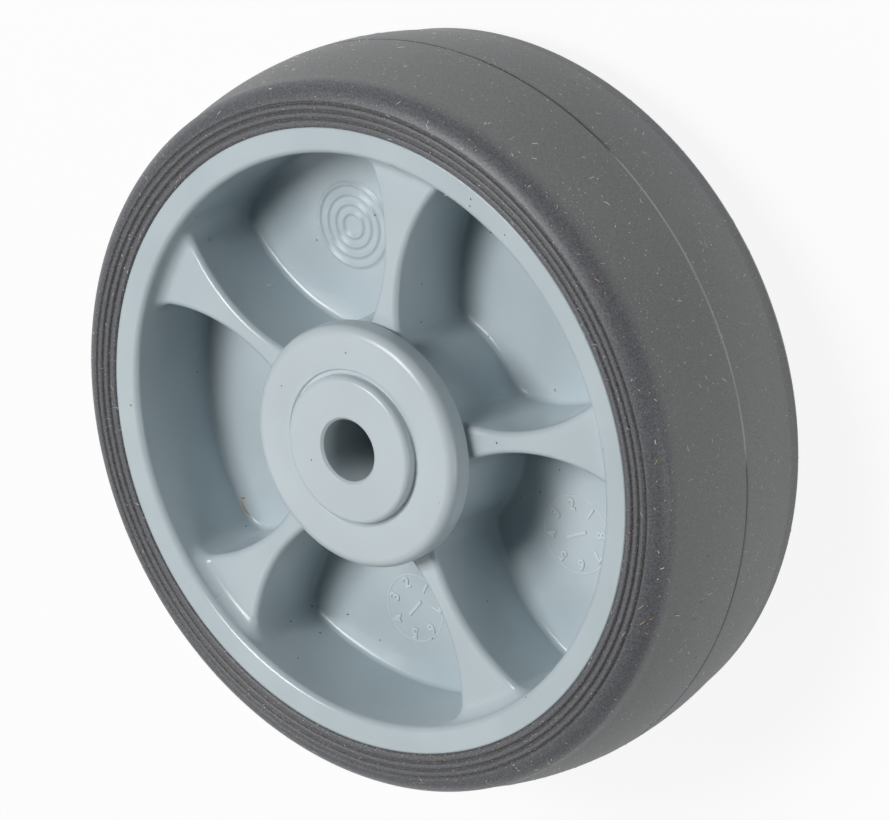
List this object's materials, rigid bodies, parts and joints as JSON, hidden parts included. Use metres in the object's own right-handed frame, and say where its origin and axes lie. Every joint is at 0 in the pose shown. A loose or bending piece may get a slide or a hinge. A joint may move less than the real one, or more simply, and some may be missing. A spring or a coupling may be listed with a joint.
{
  "type": "rubber trolley wheel",
  "caption": "Trolley wheel with a grey rubber tread round a ribbed plastic centre that turns on ball bearings about a flanged plastic hub with a plain axle bore.",
  "frame": {"origin": "middle of the axle bore, in the wheel's middle plane", "axes": "+Z along the axle towards the front face shown in the picture, +X through the middle of one rib"},
  "size_m": [0.1001, 0.1002, 0.0388],
  "materials": {
    "tread_rubber": "satin",
    "centre_plastic": "satin",
    "cap_plastic": "satin",
    "spacer_steel": "drawn",
    "ring_steel": "ground",
    "shield_steel": "satin",
    "cage_steel": "pressed",
    "ball_steel": "polished"
  },
  "bodies": {
    "hub": {"front_hub_cap": "cap_plastic", "rear_hub_cap": "cap_plastic", "spacer_tube": "spacer_steel", "front_bearing_inner_ring": "ring_steel", "rear_bearing_inner_ring": "ring_steel"},
    "wheel": {"tread": "tread_rubber", "wheel_centre": "centre_plastic", "front_bearing_outer_ring": "ring_steel", "front_bearing_outer_shield": "shield_steel", "front_bearing_inner_shield": "shield_steel", "rear_bearing_outer_ring": "ring_steel", "rear_bearing_outer_shield": "shield_steel", "rear_bearing_inner_shield": "shield_steel"},
    "front_cage": {"front_bearing_cage": "cage_steel", "front_ball_1": "ball_steel", "front_ball_2": "ball_steel", "front_ball_3": "ball_steel", "front_ball_4": "ball_steel", "front_ball_5": "ball_steel", "front_ball_6": "ball_steel", "front_ball_7": "ball_steel", "front_ball_8": "ball_steel", "front_ball_9": "ball_steel"},
    "rear_cage": {"rear_bearing_cage": "cage_steel", "rear_ball_1": "ball_steel", "rear_ball_2": "ball_steel", "rear_ball_3": "ball_steel", "rear_ball_4": "ball_steel", "rear_ball_5": "ball_steel", "rear_ball_6": "ball_steel", "rear_ball_7": "ball_steel", "rear_ball_8": "ball_steel", "rear_ball_9": "ball_steel"}
  },
  "joints": [
    {"name": "wheel_spin", "type": "hinge", "parent": "hub", "child": "wheel", "pos_m": [0, 0, 0], "axis": [0, 0, 1], "continuous": true},
    {"name": "front_cage_spin", "type": "hinge", "parent": "hub", "child": "front_cage", "pos_m": [0, 0, 0], "axis": [0, 0, 1], "continuous": true},
    {"name": "rear_cage_spin", "type": "hinge", "parent": "hub", "child": "rear_cage", "pos_m": [0, 0, 0], "axis": [0, 0, 1], "continuous": true}
  ],
  "couplings": [
    {"joint": "front_cage_spin", "follows": "wheel_spin", "ratio": 0.5944},
    {"joint": "rear_cage_spin", "follows": "wheel_spin", "ratio": 0.5944}
  ]
}
